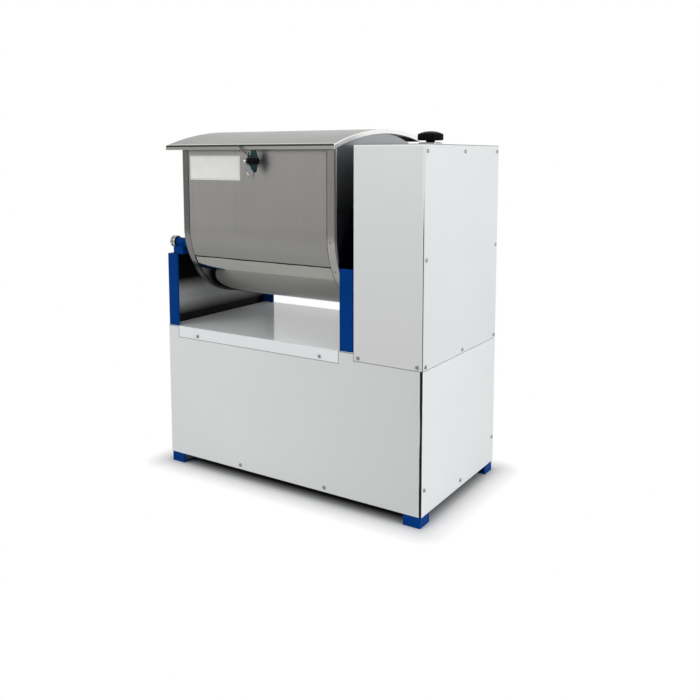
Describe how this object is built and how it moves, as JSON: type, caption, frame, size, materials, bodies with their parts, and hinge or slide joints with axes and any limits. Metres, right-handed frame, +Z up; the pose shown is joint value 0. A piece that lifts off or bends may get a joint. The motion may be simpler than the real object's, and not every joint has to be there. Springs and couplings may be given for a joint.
{
  "type": "dough mixer",
  "caption": "Floor-standing dough mixer: a stainless trough with arched lid and mixing arms tilts between blue brackets beside a tall drive column on a white sheet-metal base.",
  "frame": {"origin": "on the floor, below the middle of the machine's outline", "axes": "+X along the mixing shaft towards the drive column, -Y towards the user, +Z up"},
  "size_m": [0.7044, 0.4357, 0.815],
  "materials": {
    "blue_paint": "semi-gloss enamel",
    "white_paint": "smooth powder coat",
    "dark_plate": "semi-gloss dark lining",
    "stainless": "fine brushed",
    "bright_steel": "polished",
    "turned_steel": "turned",
    "zinc_screws": "zinc plated",
    "cast_iron": "as cast, oiled",
    "bronze": "machined",
    "black_plastic": "moulded, semi-gloss",
    "belt_rubber": "matt",
    "motor_paint": "enamel"
  },
  "bodies": {
    "stand": {"corner_legs": "blue_paint", "base_rails": "blue_paint", "column_posts": "blue_paint", "drive_shelf": "blue_paint", "front_panel": "white_paint", "left_panel": "white_paint", "right_panel": "white_paint", "rear_panel": "white_paint", "deck_plate": "white_paint", "column_front_panel": "white_paint", "column_side_panel": "white_paint", "column_inner_panel": "white_paint", "column_rear_panel": "white_paint", "column_top_cover": "white_paint", "left_bracket": "blue_paint", "right_bracket": "blue_paint", "bracket_liners": "dark_plate", "bearing_housings": "cast_iron", "trunnion_bushes": "bronze", "bearing_bolts": "zinc_screws", "lock_housing": "blue_paint", "bearing_plates": "blue_paint", "drive_bearings": "bright_steel", "plate_spacers": "turned_steel", "drive_belt": "belt_rubber", "motor": "motor_paint", "motor_mount": "blue_paint", "switch_plate": "bright_steel", "switch_body": "black_plastic", "cable_gland": "black_plastic", "base_screws": "zinc_screws", "column_screws": "zinc_screws"},
    "tub": {"tub_shell": "stainless", "tub_front_sheet": "stainless", "tub_end_left": "stainless", "tub_end_right": "stainless", "trunnions": "turned_steel", "trunnion_bolts": "zinc_screws", "rim_rivets": "bright_steel", "lock_boss": "turned_steel", "tub_hinge_straps": "stainless", "latch_bracket": "bright_steel", "latch_bolts": "bright_steel"},
    "lid": {"lid": "stainless", "lid_hinge_leaves": "stainless", "hinge_pins": "bright_steel"},
    "latch_knob": {"latch_screw": "bright_steel", "latch_wing_knob": "black_plastic"},
    "latch_hook": {"latch_hook": "turned_steel"},
    "tilt_lock": {"lock_pin": "turned_steel", "lock_knob": "bright_steel"},
    "agitator": {"mixing_shaft": "turned_steel", "mixing_arms": "stainless", "main_gear": "cast_iron"},
    "countershaft": {"countershaft": "turned_steel", "driven_pulley": "cast_iron", "pinion": "turned_steel"},
    "motor_rotor": {"motor_shaft": "turned_steel", "motor_pulley": "cast_iron"},
    "switch": {"switch_knob": "black_plastic"}
  },
  "joints": [
    {"name": "tub_tilt", "type": "hinge", "parent": "stand", "child": "tub", "pos_m": [0, -0.019, 0.588], "axis": [1, 0, 0], "range_deg": [0, 90]},
    {"name": "lid_hinge", "type": "hinge", "parent": "tub", "child": "lid", "pos_m": [-0.07, 0.171, 0.786], "axis": [-1, 0, 0], "range_deg": [0, 105]},
    {"name": "latch_knob_turn", "type": "hinge", "parent": "tub", "child": "latch_knob", "pos_m": [-0.05, -0.2127, 0.743], "axis": [1, 0, 0], "range_deg": [-30, 30]},
    {"name": "latch_hook_swing", "type": "hinge", "parent": "tub", "child": "latch_hook", "pos_m": [-0.068, -0.2127, 0.743], "axis": [1, 0, 0], "range_deg": [0, 80]},
    {"name": "tilt_lock_pull", "type": "slide", "parent": "stand", "child": "tilt_lock", "axis": [-1, 0, 0], "range_m": [0, 0.014], "stiffness_N_per_m": 600, "springref_m": -0.01},
    {"name": "agitator_spin", "type": "hinge", "parent": "stand", "child": "agitator", "pos_m": [0, -0.019, 0.588], "axis": [1, 0, 0], "continuous": true},
    {"name": "countershaft_spin", "type": "hinge", "parent": "stand", "child": "countershaft", "pos_m": [0.23, -0.019, 0.435], "axis": [1, 0, 0], "continuous": true},
    {"name": "motor_spin", "type": "hinge", "parent": "stand", "child": "motor_rotor", "pos_m": [0.23, -0.019, 0.15], "axis": [1, 0, 0], "continuous": true},
    {"name": "switch_turn", "type": "hinge", "parent": "stand", "child": "switch", "pos_m": [0.267, 0, 0.79], "axis": [0, 0, 1], "range_deg": [-45, 45]}
  ],
  "couplings": [
    {"joint": "countershaft_spin", "follows": "agitator_spin", "ratio": -4.6667},
    {"joint": "motor_spin", "follows": "agitator_spin", "ratio": -21.467}
  ]
}
